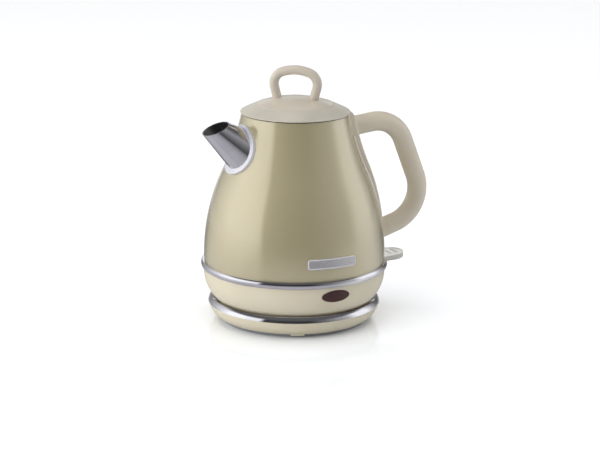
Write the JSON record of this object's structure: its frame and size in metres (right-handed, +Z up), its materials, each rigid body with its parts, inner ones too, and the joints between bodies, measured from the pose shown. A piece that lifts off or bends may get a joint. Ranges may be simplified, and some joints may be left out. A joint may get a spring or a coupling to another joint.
{
  "type": "electric kettle",
  "caption": "Cordless electric kettle with a tapered painted body, tilted spout, bow handle, lift-off lid with a loop and a round power base.",
  "frame": {"origin": "centre of the rubber foot ring on the table, on the turning axis", "axes": "+Z up, spout toward -X, handle and switch toward +X, indicator light toward -Y, cord gland toward +Y"},
  "size_m": [0.203, 0.1518, 0.2076],
  "materials": {
    "cream_plastic": "satin",
    "body_paint": "gloss",
    "lid_paint": "satin",
    "chrome": "polished",
    "clear_plastic": "clear",
    "lens_plastic": "gloss",
    "grey_plastic": "matte",
    "black_plastic": "matte",
    "rubber": "matte",
    "steel": "satin",
    "aluminium": "satin",
    "brass": "satin",
    "lamp_glass": "clear"
  },
  "bodies": {
    "power_base": {"base_shell": "cream_plastic", "base_trim_ring": "chrome", "base_bottom_cover": "grey_plastic", "base_foot_ring": "rubber", "base_screws": "steel", "cord_gland": "rubber", "connector_hub": "black_plastic", "base_earth_pin": "brass", "base_contact_rings": "brass"},
    "connector_socket": {"connector_socket": "black_plastic", "socket_contacts": "brass"},
    "kettle": {"control_housing": "black_plastic", "bimetal_discs": "steel", "heating_plate": "steel", "heat_spreader": "aluminium", "heating_element": "steel", "plate_seal": "rubber", "steam_pipe": "steel", "pipe_grommet": "rubber", "body_shell": "body_paint", "spout": "chrome", "spout_collar": "chrome", "spout_filter": "steel", "body_trim_ring": "chrome", "lower_collar": "cream_plastic", "indicator_lens": "lens_plastic", "bottom_cover": "grey_plastic", "bottom_screws": "steel", "indicator_lamp": "lamp_glass", "lamp_holder": "grey_plastic", "switch_pin": "steel", "switch_bracket": "grey_plastic", "lever_spring": "steel", "steam_bimetal": "steel", "handle_spine": "cream_plastic", "handle_grip": "cream_plastic", "handle_studs": "steel"},
    "lid": {"lid_cover": "lid_paint", "lid_knob": "cream_plastic", "lid_plug": "grey_plastic", "lid_seal": "rubber", "lid_screws": "steel"},
    "switch": {"switch_lever": "clear_plastic"}
  },
  "joints": [
    {"name": "kettle_lift", "type": "slide", "parent": "power_base", "child": "connector_socket", "axis": [0, 0, 1], "range_m": [0, 0.08]},
    {"name": "kettle_swivel", "type": "hinge", "parent": "connector_socket", "child": "kettle", "pos_m": [0, 0, 0.02], "axis": [0, 0, 1], "continuous": true},
    {"name": "lid_lift", "type": "slide", "parent": "kettle", "child": "lid", "axis": [0, 0, 1], "range_m": [0, 0.08]},
    {"name": "switch_press", "type": "hinge", "parent": "kettle", "child": "switch", "pos_m": [0.058, 0, 0.0359], "axis": [0, 1, 0], "range_deg": [0, 12], "stiffness_Nm_per_rad": 0.15, "springref_deg": -22.92, "deforming": ["lever_spring"]}
  ]
}
